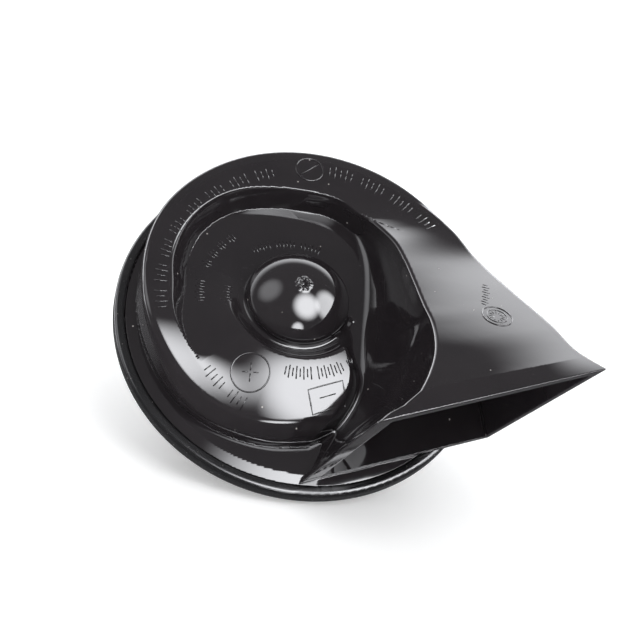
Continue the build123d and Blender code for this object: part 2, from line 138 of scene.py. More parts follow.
def rounded_max(a, b, radius):
    """Intersection of two fields, its convex edge rounded."""
    outer = np.hypot(np.maximum(a + radius, 0), np.maximum(b + radius, 0))
    return np.minimum(np.maximum(a, b), -radius) + outer


def rounded_min(a, b, radius):
    """Union of two fields, its concave corner filled."""
    inner = np.hypot(np.maximum(radius - a, 0), np.maximum(radius - b, 0))
    return np.maximum(np.minimum(a, b), radius) - inner


def smooth_step(value, low, high):
    """From 0 at low to 1 at high, level at both."""
    t = np.clip((value - low) / (high - low), 0, 1)
    return t * t * (3 - 2 * t)


def rail(at, points, straight_from=None):
    """A smooth curve through (station, value) points, carried on in straight lines past its ends.

    From the station straight_from on, the points are joined by straight lines.
    """
    stations = np.array([p[0] for p in points], float)
    values = np.array([p[1] for p in points], float)
    slopes = np.gradient(values, stations)
    if straight_from is not None:
        slopes[stations == straight_from] = (
            (values[stations == straight_from] - values[stations < straight_from][-1])
            / (straight_from - stations[stations < straight_from][-1])
        )
    i = np.clip(np.searchsorted(stations, at) - 1, 0, len(points) - 2)
    span = stations[i + 1] - stations[i]
    t = (at - stations[i]) / span
    inside = np.clip(t, 0, 1)
    t2, t3 = inside ** 2, inside ** 3
    curve = (
        (2 * t3 - 3 * t2 + 1) * values[i]
        + (t3 - 2 * t2 + inside) * span * slopes[i]
        + (3 * t2 - 2 * t3) * values[i + 1]
        + (t3 - t2) * span * slopes[i + 1]
    )
    if straight_from is not None:
        line = values[i] + t * (values[i + 1] - values[i])
        curve = np.where(stations[i] >= straight_from, line, curve)
    past = np.where(t > 1, (t - 1) * span * slopes[-1], 0) + np.where(t < 0, t * span * slopes[0], 0)
    return curve + np.where((t > 1) | (t < 0), past, 0)


# ---------------------------------------------------------------- the trumpet's outer form

# Rails of the bell: (distance along the flow, value)
INNER_FOOT = [(-28, -2), (-24.4, 4.5), (-20.2, 13.5), (-16.8, 14.2), (-12, 11.4), (-7, 8.3), (3, 4.1),
              (13, 0.8), (23.5, -2.8), (30, -7.2), (MOUTH_FOOT, -11.6), (39.8, -13), (44, -15)]
INNER_EDGE = [(-28, 1), (-24.4, 8.5), (-22.4, 13.6), (-20.2, 15.9), (-17.3, 17.6), (-12, 19.2), (-7.5, 19.8),
              (-1, 19.2), (5.6, 17.9), (14.6, 15.9), (18.2, 15.2), (23.3, 13.3), (28.6, 10.1), (31.9, 7.2),
              (LIP_START, 3.6), (39.8, -5.3), (44, -14)]
INNER_Z = [(-28, 9.5), (-24, 10.2), (-18, 11.5), (-12, 14.0), (-7.2, 16.2), (1, 19.6), (11.5, 24.0),
           (20.1, 28.0), (27.2, 31.5), (31.9, 33.6), (LIP_START, 35.1), (39.8, 35.0), (44, 34.9)]
OUTER_EDGE = [(-26, 24), (-16, 33.4), (-10.7, 36.2), (0, 38.0), (12.4, 39.6), (25.3, 41.0), (33.7, 40.4),
              (39.8, 42.0), (44, 43.1)]
OUTER_Z = [(-26, 9), (-16, 11.0), (-10.7, 11.7), (0, 14.0), (12.4, 19.2), (25.3, 25.6), (33.7, 30.8),
           (39.8, 35.0), (44, 37.9)]
OUTER_FOOT = [(-26, 24), (-12, 33.0), (-2.5, 37.0), (7.3, 36.6), (16.7, 34.0), (26, 32.0), (35, 29.9),
              (44, 27.9)]

# The snail's outer wall closes in as a spiral: (degrees about the axis, radius)
SPIRAL = [(0, BODY_R), (130, BODY_R), (150, 37.2), (168, 36.2), (182, 35.4), (200, 34.7), (222, 34.1),
          (235, 33.1), (248, 31.9), (258, 30.9), (272, 29.3), (285, 28.6), (335, 29.5), (360, BODY_R)]
SHOULDER = [(0, 0.7), (120, 0.7), (165, 0.9), (190, 1.3), (215, 2.6), (250, 3.4), (300, 3.4), (360, 0.7)]

# Rails of the pocket: (degrees on from its start, value)
POCKET_TOP = [(-10, 26.3), (0, 26.3), (28, 26.6), (43, 26.5), (58, 27.5), (106, 27.6), (117, 26.8),
              (131, 26.2), (153, 26.2), (166, 25.4), (180, 26.5), (200, 34.0), (215, 46.0), (360, 46.0)]
POCKET_LEAN = [(-10, 0.5), (0, 0.5), (43, 0.9), (80, 0.57), (120, 0.33), (360, 0.33)]
# The first turn's right end: (y, x)
TURN_END = [(-36, 1.0), (-31, 3.5), (-27, 7.0), (-24.2, 8.8), (-20.4, 10.8), (-15.5, 11.3), (-12.3, 10.3),
            (-9, 9.0), (-3, 8.2), (1, 6.0), (4, -12), (6, -34)]


def across_along(x, y):
    """The bell's own axes: across the mouth, and along the flow towards it."""
    c, s = math.cos(MOUTH_ANGLE), math.sin(MOUTH_ANGLE)
    return c * x + s * y, s * x - c * y


def dome_polar(x, y):
    """Distance and angle about the dome's own axis."""
    dx, dy = x - DOME[0], y - DOME[1]
    return np.hypot(dx, dy), np.arctan2(dy, dx)


def first_turn_height(from_dome):
    """The first turn's crown: a moat round the dome, a crease, then a fall that steepens outwards."""
    out = np.maximum(from_dome - TURN_START_R, 0)
    moat = MOAT_DEPTH * (1 - smooth_step(from_dome, TURN_START_R - MOAT_INSIDE, TURN_START_R + MOAT_OUTSIDE))
    return TURN_TOP_Z - TURN_FALL * out - TURN_STEEPENING * out ** 2 - moat


def front_height(x, y):
    """Height of the front surface over the plan: ring, first turn, and the pocket between them.

    Angles are in degrees on from the pocket's start: around goes from 0 to 360, and signed from -130 to 230.
    """
    from_dome, angle = dome_polar(x, y)
    radius = np.hypot(x, y)
    around = np.degrees(np.mod(POCKET_START - angle, 2 * math.pi))
    signed = np.where(around > 230, around - 360, around)
    turn = first_turn_height(from_dome)
    ring = FRONT_Z - RING_FALL * np.maximum(radius - RING_LEVEL_R, 0)
    rise = smooth_step(signed, -30, 34)
    outer = smooth_step(from_dome, 18, 27)
    top = turn + (ring - turn) * rise * (outer + (1 - outer) * smooth_step(signed, 0, 40))
    # The pocket falls away clockwise from the first turn's crown to its deep end
    _, along = across_along(x, y)
    deep = 5.0 + 4.0 * np.exp(-around / 100) - 4.0 * smooth_step(along, 16, 30)
    fall_angle = 62
    ease = np.clip(signed / fall_angle, 0, 1)
    share = ease ** 1.4 * (1.6 - 0.6 * ease)
    right = smooth_step(x - rail(y, TURN_END), -3.0, 1.6)
    share = np.where(signed < 0, right, np.where(around > 120, share * right, share))
    start_rise = np.where(signed < 0, rise, (0.455 + 0.0233 * signed) * (1 - smooth_step(signed, 0, 50)))
    start = turn + (ring - turn) * start_rise * outer
    floor = start + (deep - start) * share
    drop = np.maximum(top - floor, 0)
    # Its outer wall leans, and its edges are rounded, less where it is shallow
    reach = (rail(around, POCKET_TOP) - from_dome) / rail(around, POCKET_LEAN)
    corner = np.minimum(0.8, 0.35 * drop) + 1e-4
    sunk = -rounded_max(-drop, -reach, corner)
    sunk = -rounded_min(-sunk, np.zeros_like(sunk), corner)
    return top - np.maximum(sunk, 0)


def body_field(x, y, z):
    """The snail's round body, open downwards."""
    step = 0.05
    steepest = 10
    height = front_height(x, y)
    slope_x = (front_height(x + step, y) - height) / step
    slope_y = (front_height(x, y + step) - height) / step
    top = (z - height) / np.sqrt(1 + np.minimum(slope_x ** 2 + slope_y ** 2, steepest))
    angle = np.degrees(np.mod(np.arctan2(y, x), 2 * math.pi))
    return rounded_max(np.hypot(x, y) - rail(angle, SPIRAL), top, rail(angle, SHOULDER))


def bell_field(x, y, z):
    """The bell, open downwards and carried on past the mouth."""
    across, along = across_along(x, y)
    lean = MOUTH_LEAN * smooth_step(along, -5, 36)
    at = along + lean * (MOUTH_TOP_Z - z)
    inner_z = rail(at, INNER_Z, LIP_START)
    inner_edge = rail(at, INNER_EDGE, LIP_START)
    inner_foot = rail(at - lean * MOUTH_TOP_Z, INNER_FOOT)
    outer_z = rail(at, OUTER_Z)
    outer_edge = rail(at, OUTER_EDGE)
    outer_foot = rail(at - lean * MOUTH_TOP_Z, OUTER_FOOT)
    # The inner wall bulges under its edge, and flattens into the lip at the mouth
    down = np.clip((inner_z - z) / (inner_z - FOOT_Z), 0, 1.3)
    wall_bend, lip_bend = 3.2, 0.9
    bend = wall_bend - (wall_bend - lip_bend) * smooth_step(at, 30, 38.5)
    lean_in = (inner_edge - inner_foot) / (inner_z - FOOT_Z)
    wall_in = inner_edge - (inner_edge - inner_foot) * down ** bend
    wall_in = np.where(z > inner_z, inner_edge + (z - inner_z) * lean_in, wall_in)
    lean_out = (outer_edge - outer_foot) / (outer_z - FOOT_Z)
    wall_out = outer_edge + (z - outer_z) * lean_out
    share = np.clip((across - inner_edge) / (outer_edge - inner_edge), -0.5, 1.5)
    roof = inner_z + (outer_z - inner_z) * share
    bead = LIP_BEAD * smooth_step(at, LIP_END - 2.4, LIP_END - 1.4)
    # Each wall's field is divided by its slope, so that it stays close to a distance
    step = 0.5
    flare = (rail(at + step, INNER_EDGE) - inner_edge) / step
    inner = (wall_in - across) / np.sqrt(1 + lean_in ** 2 + flare ** 2) - bead
    outer = (across - wall_out) / np.sqrt(1 + lean_out ** 2)
    roof_slope = 1.13
    top = (z - roof) / roof_slope
    field = np.maximum(rounded_max(inner, top, ROOF_EDGE), BELL_START - along)
    return rounded_max(field, outer, 0.9 - 0.6 * smooth_step(at, 20, 36))


def dome_field(x, y, z):
    """A cap with a tight edge over a straight flank, and a rough gate mark at its top."""
    from_dome, angle = dome_polar(x, y)
    ball = np.sqrt(from_dome ** 2 + (z - DOME_TOP_Z + DOME_BALL_R) ** 2) - DOME_BALL_R
    field = rounded_max(ball, from_dome - DOME_R, DOME_EDGE)
    gate_r, gate_width, gate_height = 1.25, 0.42, 0.32
    pit_r, pit_depth = 0.62, 0.7
    rim = gate_height * np.exp(-(((from_dome - gate_r) / gate_width) ** 2))
    rough = 1 + 0.45 * np.sin(5 * angle + 0.7) + 0.3 * np.sin(11 * angle)
    pit = pit_depth * np.exp(-((from_dome / pit_r) ** 2))
    return field - rim * rough * (z > FRONT_Z) + pit * (z > FRONT_Z)


def outer_field(x, y, z):
    """The whole trumpet from outside, open downwards and with no mouth."""
    field = rounded_min(body_field(x, y, z), bell_field(x, y, z), BELL_FILLET)
    return rounded_min(field, dome_field(x, y, z), DOME_FILLET)


def mouth_field(x, y, z):
    """Positive past the plane of the mouth."""
    _, along = across_along(x, y)
    return (along - MOUTH_FOOT - MOUTH_LEAN * (z - FOOT_Z)) / math.sqrt(1 + MOUTH_LEAN ** 2)


def front_shell_field(x, y, z):
    """The front half: an even wall under the outer form, cut at the mouth and at the parting plane."""
    outside = outer_field(x, y, z)
    shell = rounded_max(outside, mouth_field(x, y, z), CUT_EDGE)
    shell = rounded_max(shell, -(outside + WALL), CUT_EDGE)
    return np.maximum(shell, PARTING_Z + SEAM_HALF_GAP - z)


def back_shell_field(x, y, z):
    """The back half: the channel's floor plate on a disc, the crimped flange, the chamber and the throat."""
    outside = outer_field(x, y, z)
    radius = np.hypot(x, y)
    plate = rounded_max(outside, mouth_field(x, y, z), CUT_EDGE)
    plate = rounded_max(plate, z - PARTING_Z + SEAM_HALF_GAP, 0.15)
    plate = rounded_max(plate, FOOT_Z - z, 0.3)
    channel = np.maximum(outside + WALL, CHANNEL_FLOOR_Z - z)
    plate = np.maximum(plate, -channel)
    disc_top = FOOT_Z - PLATE_FALL * np.maximum(radius - PLATE_LEVEL_R, 0)
    disc = np.maximum(radius - BODY_R, np.maximum(DISC_UNDER_Z - z, z - disc_top))
    flange = np.maximum(radius - FLANGE_R, np.maximum(FLANGE_Z - z, z))
    solid = np.minimum(plate, np.minimum(disc, flange))
    chamber = np.maximum(radius - CHAMBER_R, z - CHAMBER_TOP_Z)
    throat = radius - THROAT_R
    return np.maximum(np.maximum(solid, -chamber), -throat)


# ---------------------------------------------------------------- meshing a field


def near_surface(field, low, high, coarse, reach):
    """Coarse cells within reach of the surface, as their lower corners."""
    axes = [np.arange(a, b + coarse, coarse) for a, b in zip(low, high)]
    grid = np.meshgrid(*axes, indexing="ij")
    value = field(*[g.ravel() + coarse / 2 for g in grid]).reshape(grid[0].shape)
    return axes, np.abs(value) < reach


def surface_nets(field, low, high, cell):
    """Vertices and quads of the field's zero surface, one vertex in each cell that it crosses."""
    factor = CELLS_IN_COARSE
    coarse = cell * factor
    axes, close = near_surface(field, low, high, coarse, coarse * 1.5 + 0.6)
    count = [len(a) * factor + 1 for a in axes]
    inside = np.repeat(np.repeat(np.repeat(close, factor, 0), factor, 1), factor, 2)
    wanted = np.zeros(count, bool)
    for dx in (0, 1):
        for dy in (0, 1):
            for dz in (0, 1):
                wanted[dx:dx + inside.shape[0], dy:dy + inside.shape[1], dz:dz + inside.shape[2]] |= inside
    index = np.argwhere(wanted)
    origin = np.array([a[0] for a in axes])
    places = origin + index * cell
    value = np.full(count, FAR_OUTSIDE, np.float32)
    for start in range(0, len(places), FIELD_CHUNK):
        part = places[start:start + FIELD_CHUNK]
        spot = index[start:start + FIELD_CHUNK]
        value[spot[:, 0], spot[:, 1], spot[:, 2]] = field(part[:, 0], part[:, 1], part[:, 2])
    cells = np.argwhere(inside)
    corners = [np.array(c) for c in np.ndindex(2, 2, 2)]
    at_corner = np.stack([value[tuple((cells + c).T)] for c in corners], 1)
    crossed = (at_corner < 0).any(1) & (at_corner >= 0).any(1)
    cells, at_corner = cells[crossed], at_corner[crossed]
    total = np.zeros((len(cells), 3))
    hits = np.zeros(len(cells))
    for a in range(8):
        for b in range(a + 1, 8):
            if np.abs(corners[a] - corners[b]).sum() != 1:
                continue
            va, vb = at_corner[:, a], at_corner[:, b]
            cut = (va < 0) != (vb < 0)
            share = np.where(cut, va / np.where(cut, va - vb, 1), 0)[:, None]
            point = corners[a] + share * (corners[b] - corners[a])
            total += point * cut[:, None]
            hits += cut
    vertices = origin + (cells + total / hits[:, None]) * cell
    number = np.full(inside.shape, -1, np.int64)
    number[tuple(cells.T)] = np.arange(len(cells))
    quads = []
    for axis in range(3):
        step = np.zeros(3, int)
        step[axis] = 1
        other = [k for k in range(3) if k != axis]
        one, two = np.zeros(3, int), np.zeros(3, int)
        one[other[0]] = 1
        two[other[1]] = 1
        ok = (cells[:, other[0]] > 0) & (cells[:, other[1]] > 0)
        base = cells[ok]
        v0 = value[tuple(base.T)]
        v1 = value[tuple((base + step).T)]
        cut = (v0 < 0) != (v1 < 0)
        base, v0 = base[cut], v0[cut]
        ring = np.stack([number[tuple((base - k).T)] for k in (0 * one, one, one + two, two)], 1)
        flip = (v0 < 0) == (axis != 1)
        ring[~flip] = ring[~flip][:, ::-1]
        quads.append(ring[(ring >= 0).all(1)])
    return vertices, np.concatenate(quads)


def gradient(field, points, step=0.03):
    """Unit normals and slopes of the field at the points."""
    slopes = []
    for k in range(3):
        shift = np.zeros(3)
        shift[k] = step
        slopes.append((field(*(points + shift).T) - field(*(points - shift).T)) / (2 * step))
    slopes = np.stack(slopes, 1)
    length = np.linalg.norm(slopes, axis=1, keepdims=True)
    return slopes / np.maximum(length, 1e-6), length[:, 0]


def on_surface(field, points, cell, rounds=4):
    """Points moved onto the field's zero surface along its gradient."""
    for _ in range(rounds):
        normal, slope = gradient(field, points)
        move = field(*points.T) / np.maximum(slope, 0.3)
        points = points - normal * np.clip(move, -0.5 * cell, 0.5 * cell)[:, None]
    return points


def field_mesh(name, field, low, high, cell):
    """A mesh object, in metres, of the field's zero surface, shaded by the field's own normals."""
    vertices, quads = surface_nets(field, low, high, cell)
    vertices = on_surface(field, vertices, cell)
    normals, _ = gradient(field, vertices)
    mesh = bpy.data.meshes.new(name)
    mesh.vertices.add(len(vertices))
    mesh.vertices.foreach_set("co", (vertices * MM).astype(np.float32).ravel())
    mesh.loops.add(quads.size)
    mesh.loops.foreach_set("vertex_index", quads.astype(np.int32).ravel())
    mesh.polygons.add(len(quads))
    mesh.polygons.foreach_set("loop_start", np.arange(0, quads.size, 4, dtype=np.int32))
    mesh.update(calc_edges=True)
    mesh.validate()
    mesh.polygons.foreach_set("use_smooth", np.ones(len(mesh.polygons), bool))
    mesh.normals_split_custom_set_from_vertices(normals.astype(np.float32).tolist())
    return new_piece(name, mesh)


# ---------------------------------------------------------------- materials


class Nodes:
    """A short way to build a node tree."""

    def __init__(self, name):
        self.material = bpy.data.materials.new(name)
        self.material.use_nodes = True
        self.tree = self.material.node_tree
        self.shader = self.tree.nodes["Principled BSDF"]
        self.place = self.add("ShaderNodeTexCoord").outputs["Object"]

    def add(self, kind, **values):
        node = self.tree.nodes.new(kind)
        for key, value in values.items():
            if key in node.inputs:
                self.set(node.inputs[key], value)
            else:
                setattr(node, key, value)
        return node

    def set(self, socket, value):
        if isinstance(value, bpy.types.NodeSocket):
            self.tree.links.new(value, socket)
        else:
            socket.default_value = value

    def put(self, **values):
        for key, value in values.items():
            self.set(self.shader.inputs[key.replace("_", " ")], value)

    def noise(self, scale, detail=4.0, roughness=0.55, stretch=None):
        place = self.place
        if stretch is not None:
            mapping = self.add("ShaderNodeMapping")
            self.set(mapping.inputs["Vector"], place)
            mapping.inputs["Scale"].default_value = stretch
            place = mapping.outputs["Vector"]
        node = self.add("ShaderNodeTexNoise", Vector=place, Scale=scale, Detail=detail, Roughness=roughness)
        return node.outputs["Fac"]

    def ramp(self, value, low, high, to_low=0.0, to_high=1.0):
        node = self.add("ShaderNodeMapRange", Value=value)
        for key, number in (("From Min", low), ("From Max", high), ("To Min", to_low), ("To Max", to_high)):
            node.inputs[key].default_value = number
        return node.outputs["Result"]

    def mix(self, share, first, second):
        node = self.add("ShaderNodeMix", data_type="RGBA")
        self.set(node.inputs[0], share)
        self.set(node.inputs[6], first)
        self.set(node.inputs[7], second)
        return node.outputs[2]

    def choose(self, share, first, second):
        """A shader that goes from the first to the second as share goes from 0 to 1."""
        node = self.add("ShaderNodeMixShader")
        self.tree.links.new(share, node.inputs[0])
        self.tree.links.new(first.outputs[0], node.inputs[1])
        self.tree.links.new(second.outputs[0], node.inputs[2])
        return node

    def joined(self, operation, first, second):
        node = self.add("ShaderNodeMath", operation=operation)
        self.set(node.inputs[0], first)
        self.set(node.inputs[1], second)
        return node.outputs[0]

    def sum(self, first, second):
        return self.joined("ADD", first, second)

    def times(self, first, second):
        return self.joined("MULTIPLY", first, second)

    def bump(self, height, strength, distance, eased=0.0):
        """Fine relief, over edges that are eased by the given radius in millimetres."""
        node = self.add("ShaderNodeBump", Height=height, Strength=strength, Distance=distance * MM)
        if eased:
            edge = self.add("ShaderNodeBevel", samples=8, Radius=eased * MM)
            self.set(node.inputs["Normal"], edge.outputs["Normal"])
        self.set(self.shader.inputs["Normal"], node.outputs["Normal"])


def black_plastic():
    """Glossy black ABS: faint flow marks, hairline scratches and settled dust."""
    n = Nodes("black_abs")
    flow = n.noise(60, 3, stretch=(1, 1, 2.5))
    fine = n.noise(900, 2)
    specks = n.add("ShaderNodeTexVoronoi", Vector=n.place, Scale=420.0)
    dust = n.ramp(specks.outputs["Distance"], 0.085, 0.045)
    rare = n.ramp(n.noise(260, 1), 0.57, 0.61)
    dust = n.times(dust, rare)
    scratch = n.noise(500, 2, stretch=(1, 9, 1))
    scratch = n.ramp(scratch, 0.66, 0.70, 0, 0.5)
    base = n.mix(n.ramp(flow, 0.35, 0.65), (0.0175, 0.0150, 0.0170, 1), (0.0215, 0.0185, 0.0205, 1))
    n.put(Base_Color=n.mix(dust, base, (0.45, 0.42, 0.40, 1)))
    rough = n.sum(n.ramp(flow, 0.3, 0.7, 0.035, 0.075), n.times(dust, 0.5))
    n.put(Roughness=n.sum(rough, n.times(scratch, 0.06)), IOR=1.52)
    height = n.sum(n.times(flow, 0.7), n.times(fine, 0.03))
    n.bump(height, 0.10, 0.25)
    return n.material


def painted_steel():
    """Black electro-coat on drawn steel: slight orange peel, dust specks and eased edges."""
    n = Nodes("black_steel")
    peel = n.noise(700, 3)
    cloud = n.noise(45, 4)
    specks = n.ramp(n.noise(1500, 2, 0.7), 0.70, 0.76)
    base = n.mix(n.ramp(cloud, 0.3, 0.7), (0.008, 0.008, 0.009, 1), (0.013, 0.012, 0.013, 1))
    n.put(Base_Color=n.mix(specks, base, (0.22, 0.21, 0.2, 1)))
    n.put(Roughness=n.ramp(cloud, 0.3, 0.7, 0.14, 0.26), IOR=1.5)
    n.put(Coat_Weight=0.25, Coat_Roughness=0.08)
    n.bump(peel, 0.12, 0.05, 0.8)
    return n.material


def metal(name, colour, roughness, brushed=(1, 1, 1), tarnish=None):
    """A bare or plated metal with brushing and a little tarnish."""
    n = Nodes(name)
    grain = n.noise(900, 3, stretch=brushed)
    cloud = n.noise(120, 4)
    dark = tarnish or tuple(0.72 * c for c in colour)
    n.put(Base_Color=n.mix(n.ramp(cloud, 0.42, 0.72), (*colour, 1), (*dark, 1)), Metallic=1.0)
    dull = n.ramp(cloud, 0.3, 0.7, roughness, roughness + 0.12)
    n.put(Roughness=n.sum(dull, n.ramp(grain, 0.3, 0.7, 0, 0.06)))
    n.bump(grain, 0.15, 0.03)
    return n.material


def plastic(name, colour, roughness, grain_scale=1200.0):
    """A matt moulded plastic or laminate with fine grain."""
    n = Nodes(name)
    grain = n.noise(grain_scale, 3)
    cloud = n.noise(70, 3)
    light = tuple(min(1.0, 1.25 * c + 0.004) for c in colour)
    n.put(Base_Color=n.mix(n.ramp(cloud, 0.35, 0.65), (*colour, 1), (*light, 1)))
    n.put(Roughness=n.ramp(cloud, 0.3, 0.7, roughness, roughness + 0.1))
    n.bump(grain, 0.25, 0.06)
    return n.material


def copper_wire():
    """Enamelled copper in turns that lie round Z."""
    n = Nodes("enamelled_copper")
    turns = n.add("ShaderNodeTexWave", Vector=n.place, Scale=520.0, wave_type="BANDS", bands_direction="Z")
    n.put(Base_Color=n.mix(turns.outputs["Fac"], (0.16, 0.04, 0.015, 1), (0.5, 0.17, 0.06, 1)))
    n.put(Roughness=n.ramp(n.noise(300, 2), 0.3, 0.7, 0.22, 0.36), Metallic=0.7)
    n.bump(turns.outputs["Fac"], 0.6, 0.12)
    return n.material


MATERIALS = {
    "black_abs": black_plastic,
    "black_steel": painted_steel,
    "gasket": lambda: plastic("gasket", (0.05, 0.045, 0.04), 0.7),
    "spring_steel": lambda: metal("spring_steel", (0.56, 0.57, 0.6), 0.2, (8, 1, 1)),
    "soft_steel": lambda: metal("soft_steel", (0.45, 0.45, 0.46), 0.3, (1, 1, 12)),
    "zinc_steel": lambda: metal("zinc_steel", (0.62, 0.64, 0.67), 0.26, (6, 1, 1), (0.44, 0.46, 0.5)),
    "white_nylon": lambda: plastic("white_nylon", (0.8, 0.78, 0.7), 0.4),
    "enamelled_copper": copper_wire,
    "brown_laminate": lambda: plastic("brown_laminate", (0.22, 0.1, 0.04), 0.5, 2500.0),
    "brass": lambda: metal("brass", (0.78, 0.57, 0.22), 0.22, (1, 1, 10)),
    "bronze_leaf": lambda: metal("bronze_leaf", (0.72, 0.45, 0.24), 0.24, (1, 8, 1)),
    "tungsten": lambda: metal("tungsten", (0.35, 0.35, 0.37), 0.3),
    "ceramic": lambda: plastic("ceramic", (0.7, 0.68, 0.6), 0.3),
    "black_nylon": lambda: plastic("black_nylon", (0.012, 0.012, 0.013), 0.42),
    "tinned_brass": lambda: metal("tinned_brass", (0.72, 0.7, 0.66), 0.25, (1, 1, 6)),
    "wire_sleeve": lambda: plastic("wire_sleeve", (0.4, 0.02, 0.015), 0.35),
}
made = {}


def material(slot):
    """The slot's material, made once."""
    if slot not in made:
        made[slot] = MATERIALS[slot]()
    return made[slot]


def dress(piece, slot):
    """Gives a new piece the material of the given slot."""
    piece.data.materials.clear()
    piece.data.materials.append(material(slot))


def dress_cad_nodes():
    """Gives every CAD node its slot's material."""
    slots = {row["node"]: row["material_slot"] for row in frame["record"]["subparts"]}
    for name, piece in frame["nodes"].items():
        piece.data.materials.clear()
        piece.data.materials.append(material(slots[name]))


# ---------------------------------------------------------------- the trumpet


def moulding(name, field, low, high, node):
    """One half of the trumpet, which stands for its CAD node."""
    piece = field_mesh(name, field, np.array(low), np.array(high), FINE_CELL)
    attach(piece, "horn")
    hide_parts(node)
    dress(piece, "black_abs")


def trumpet():
    """Both halves, each meshed in a box that reaches a little past it."""
    low = (-BODY_R - 1, -BODY_R - 3, PARTING_Z - 1)
    high = (58.0, BODY_R + 1, MOUTH_TOP_Z + 3)
    moulding("trumpet_front", front_shell_field, low, high, "front_shell")
    low = (-FLANGE_R - 1, -FLANGE_R - 1, FLANGE_Z - 1)
    high = (50.0, FLANGE_R + 1, PARTING_Z + 1)
    moulding("trumpet_back", back_shell_field, low, high, "back_shell")


def diaphragm():
    """The spring disc, a copy of its CAD node in spring steel."""
    source = frame["nodes"]["diaphragm"]
    disc = new_piece("diaphragm_disc", source.data.copy())
    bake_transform(disc)
    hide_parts("diaphragm")
    dress(disc, "spring_steel")


# ---------------------------------------------------------------- raised marks

FINE_LINE = 0.13
BOLD_LINE = 0.17
UNGROUPED = 99


def surface_z(x, y):
    """Height of the trumpet's outer surface above each plan point."""
    low, high = np.full(len(x), FOOT_Z), np.full(len(x), MOUTH_TOP_Z + 2)
    levels = np.arange(MOUTH_TOP_Z + 2, FOOT_Z, -0.5)
    found = np.zeros(len(x), bool)
    for level in levels:
        inside = outer_field(x, y, np.full(len(x), level)) < 0
        low = np.where(inside & ~found, level, low)
        high = np.where(inside & ~found, level + 0.5, high)
        found |= inside
    for _ in range(12):
        middle = (low + high) / 2
        inside = outer_field(x, y, middle) < 0
        low = np.where(inside, middle, low)
        high = np.where(inside, high, middle)
    return low


class Marks:
    """Half-sunk raised lines that follow the trumpet's surface, gathered into one mesh."""

    SIDES = 6

    def __init__(self):
        self.lines = []

    def line(self, points, radius, closed=False):
        self.lines.append((np.array(points, float), radius, closed))

    def ring(self, centre, ring_r, radius, count=40):
        turns = np.linspace(0, 2 * math.pi, count, endpoint=False)
        points = np.stack([centre[0] + ring_r * np.cos(turns), centre[1] + ring_r * np.sin(turns)], 1)
        self.line(points, radius, True)

    def ticks(self, centre, arc_r, start, end, count, height, radius, gaps=5):
        """A row of plain radial dashes on an arc, in groups, with every other one shorter."""
        for k, angle in enumerate(np.radians(np.linspace(start, end, count))):
            if k % gaps == gaps - 1:
                continue
            reach = height * (0.5 if k % 2 else 0.32)
            away = np.array([math.cos(angle), math.sin(angle)])
            self.line([centre + away * (arc_r + side * reach) for side in (-1, 0, 1)], radius)

    def mesh(self, name):
        every = np.concatenate([points for points, _, _ in self.lines])
        heights = surface_z(every[:, 0], every[:, 1])
        vertices, faces = [], []
        first = 0
        for points, radius, closed in self.lines:
            path = np.column_stack([points, heights[first:first + len(points)]])
            first += len(points)
            if closed:
                ahead = np.roll(path, -1, 0) - np.roll(path, 1, 0)
            else:
                ahead = np.gradient(path, axis=0)
            ahead /= np.linalg.norm(ahead, axis=1, keepdims=True)
            side = np.cross(ahead, (0, 0, 1.0))
            side /= np.linalg.norm(side, axis=1, keepdims=True)
            up = np.cross(side, ahead)
            base = len(vertices)
            for p, s, u in zip(path, side, up):
                for k in range(self.SIDES):
                    turn = 2 * math.pi * k / self.SIDES
                    vertices.append(p + radius * (math.cos(turn) * s + math.sin(turn) * u))
            count = len(path)
            for i in range(count if closed else count - 1):
                a, b = base + i * self.SIDES, base + (i + 1) % count * self.SIDES
                for k in range(self.SIDES):
                    n = (k + 1) % self.SIDES
                    faces.append((a + k, b + k, b + n, a + n))
            if not closed:
                end = base + count * self.SIDES
                faces.append(tuple(range(base, base + self.SIDES)))
                faces.append(tuple(reversed(range(end - self.SIDES, end))))
        mesh = bpy.data.meshes.new(name)
        mesh.from_pydata([tuple(v * MM) for v in vertices], [], faces)
        mesh.polygons.foreach_set("use_smooth", np.ones(len(mesh.polygons), bool))
        return new_piece(name, mesh)


